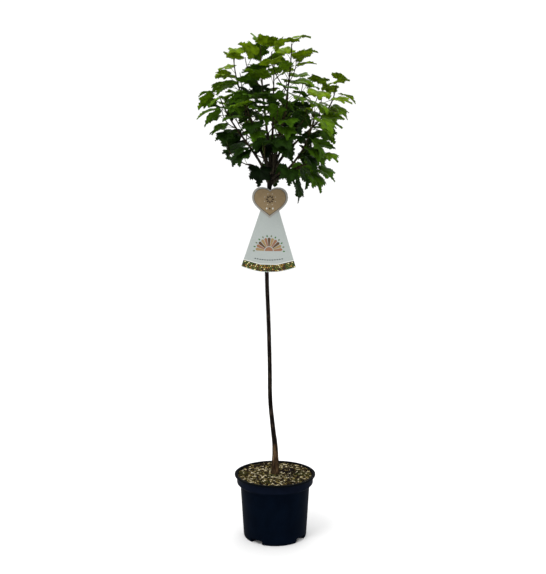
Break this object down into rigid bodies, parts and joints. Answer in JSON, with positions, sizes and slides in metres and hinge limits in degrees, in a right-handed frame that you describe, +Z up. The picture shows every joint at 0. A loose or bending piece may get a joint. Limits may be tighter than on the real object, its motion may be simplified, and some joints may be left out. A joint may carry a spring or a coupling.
{
  "type": "potted white currant standard",
  "caption": "Fruit bush grown as a standard: slender trunk, rounded leafy crown on a swollen graft head, round pot with soil, and a hanging card label.",
  "frame": {"origin": "the middle of the pot's flat underside", "axes": "+Z up along the trunk, +X to the right and +Y to the back as the label is faced, the label faces -Y"},
  "size_m": [0.4751, 0.398, 1.4698],
  "materials": {
    "pot_plastic": "satin moulded",
    "soil_chips": "rough chips",
    "bark": "rough bark",
    "foliage": "leaf",
    "label_card": "satin print",
    "label_kraft": "satin print",
    "label_strap": "satin"
  },
  "bodies": {
    "root": {"pot": "pot_plastic", "soil": "soil_chips", "trunk": "bark", "bough_left_low": "bark", "bough_left_high": "bark", "bough_left_foot": "bark", "bough_top_left": "bark", "bough_top_right": "bark", "bough_top_back": "bark", "bough_right_high": "bark", "bough_right_low": "bark", "bough_right_foot": "bark", "bough_front_right": "bark", "bough_front_left": "bark", "bough_front_foot": "bark", "bough_back_left": "bark", "bough_back_right": "bark", "bough_back_low": "bark", "foliage_left_low": "foliage", "foliage_left_high": "foliage", "foliage_left_foot": "foliage", "foliage_top_left": "foliage", "foliage_top_right": "foliage", "foliage_top_back": "foliage", "foliage_right_high": "foliage", "foliage_right_low": "foliage", "foliage_right_foot": "foliage", "foliage_front_right": "foliage", "foliage_front_left": "foliage", "foliage_front_foot": "foliage", "foliage_back_left": "foliage", "foliage_back_right": "foliage", "foliage_back_low": "foliage", "label_fan": "label_card", "label_heart": "label_kraft", "label_strap": "label_strap"}
  },
  "joints": []
}
